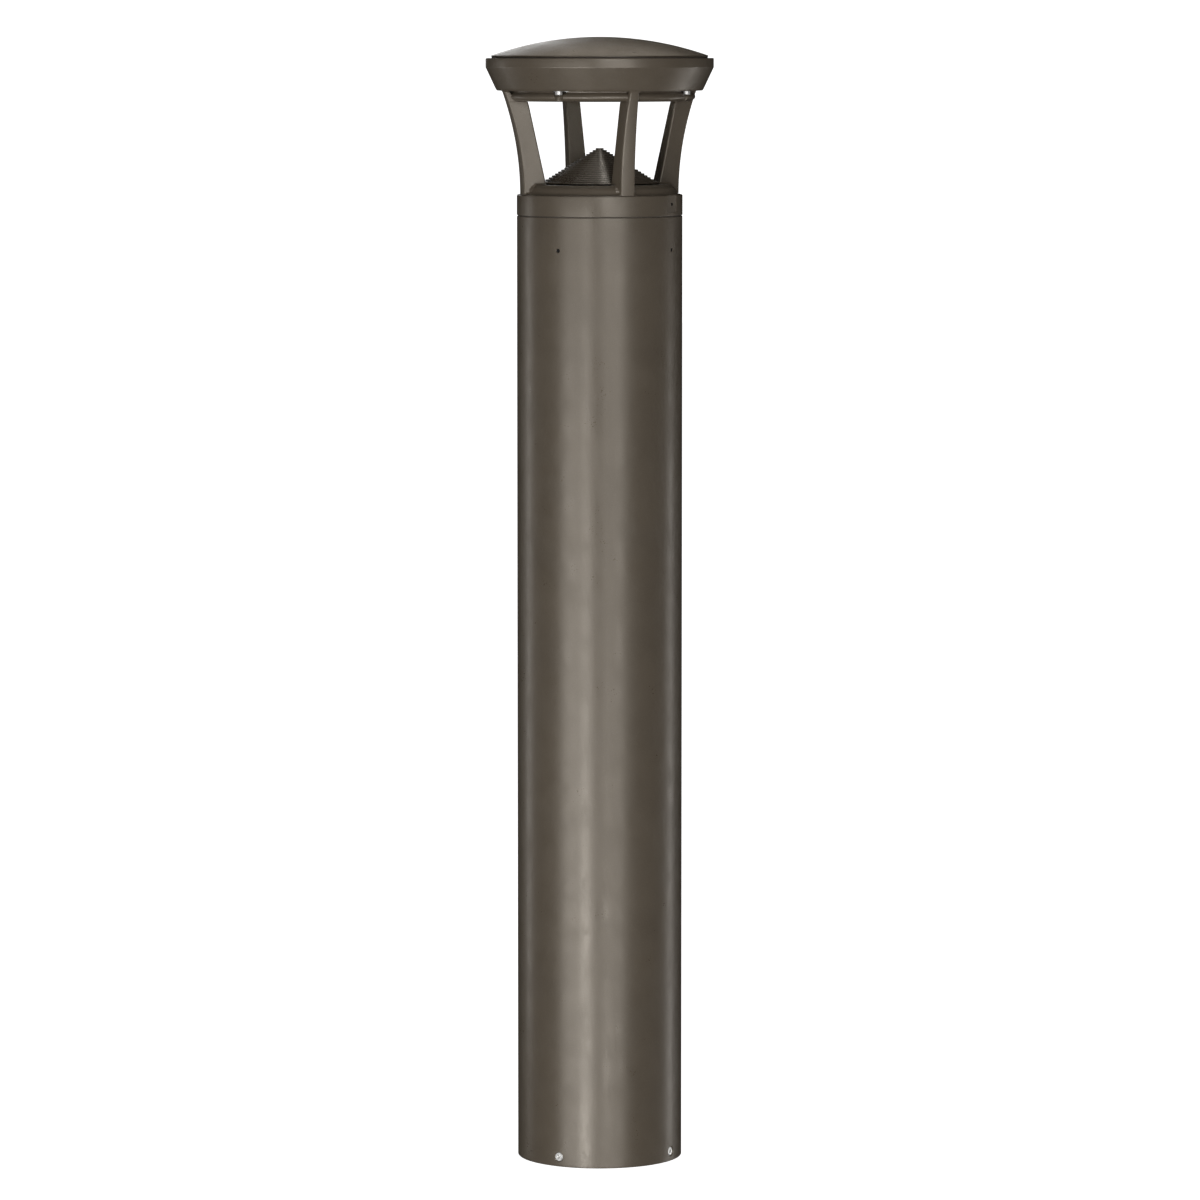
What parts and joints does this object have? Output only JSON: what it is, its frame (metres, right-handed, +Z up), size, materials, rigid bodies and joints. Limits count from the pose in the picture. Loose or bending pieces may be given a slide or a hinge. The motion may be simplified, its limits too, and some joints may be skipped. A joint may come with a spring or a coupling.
{
  "type": "bollard light",
  "caption": "Round garden bollard light: a tube on an anchor base, four curved struts, a stepped cone in the open light chamber and a shallow domed lid.",
  "frame": {"origin": "centre of the foot, on the ground", "axes": "+Z up along the axis of the tube; -Y is the side seen in the reference view"},
  "size_m": [0.2098, 0.2098, 1.039],
  "materials": {
    "bronze_powder_coat": "dark bronze powder coat, satin, fine speckle",
    "dark_baffle": "dark bronze coat over turned steps",
    "cast_aluminium": "as cast",
    "bright_steel": "bright stainless steel",
    "black_steel": "black oxide",
    "zinc_sheet": "zinc-plated sheet",
    "silicone_rubber": "matt silicone rubber",
    "frosted_lens": "frosted tempered glass",
    "board_white": "white solder mask",
    "thermal_grey": "soft thermal pad",
    "driver_case": "white moulded case",
    "surge_case": "black moulded case",
    "terminal_body": "green moulded body",
    "lead_jacket": "grey sleeve"
  },
  "bodies": {
    "shaft": {"anchor_base": "cast_aluminium", "foot_screw_1": "bright_steel", "foot_screw_2": "bright_steel", "foot_screw_3": "bright_steel", "foot_screw_4": "bright_steel", "ground_lug": "cast_aluminium", "ground_screw": "bright_steel", "head_set_screw_1": "black_steel", "head_set_screw_2": "black_steel", "head_set_screw_3": "black_steel", "head_set_screw_4": "black_steel", "shaft_tube": "bronze_powder_coat"},
    "head": {"board_screw_1": "bright_steel", "board_screw_2": "bright_steel", "cage_casting": "bronze_powder_coat", "cage_screw_1": "bright_steel", "cage_screw_2": "bright_steel", "cage_screw_3": "bright_steel", "cage_screw_4": "bright_steel", "collar": "bronze_powder_coat", "collar_gasket": "silicone_rubber", "cone_screw": "bright_steel", "cover_gasket": "silicone_rubber", "cover_screw_1": "bright_steel", "cover_screw_2": "bright_steel", "cover_screw_3": "bright_steel", "cover_screw_4": "bright_steel", "dome_cover": "bronze_powder_coat", "driver_lead": "lead_jacket", "driver_screw_1": "bright_steel", "driver_screw_2": "bright_steel", "driver_tray": "zinc_sheet", "heat_sink": "cast_aluminium", "heatsink_screw_1": "bright_steel", "heatsink_screw_2": "bright_steel", "heatsink_screw_3": "bright_steel", "heatsink_screw_4": "bright_steel", "led_board": "board_white", "led_driver": "driver_case", "led_lead": "lead_jacket", "lens": "frosted_lens", "lens_gasket": "silicone_rubber", "lens_pan": "bronze_powder_coat", "lens_retainer": "zinc_sheet", "pad_screw": "black_steel", "pan_screw_1": "bright_steel", "pan_screw_2": "bright_steel", "pan_screw_3": "bright_steel", "pan_screw_4": "bright_steel", "retainer_screw_1": "bright_steel", "retainer_screw_2": "bright_steel", "retainer_screw_3": "bright_steel", "stepped_cone": "dark_baffle", "surge_nut": "bright_steel", "surge_protector": "surge_case", "terminal_block": "terminal_body", "thermal_pad": "thermal_grey", "tray_screw_1": "bright_steel", "tray_screw_2": "bright_steel", "wireway_cover": "bronze_powder_coat"}
  },
  "joints": [
    {"name": "head_lift", "type": "slide", "parent": "shaft", "child": "head", "axis": [0, 0, 1], "range_m": [0, 0.25]}
  ]
}
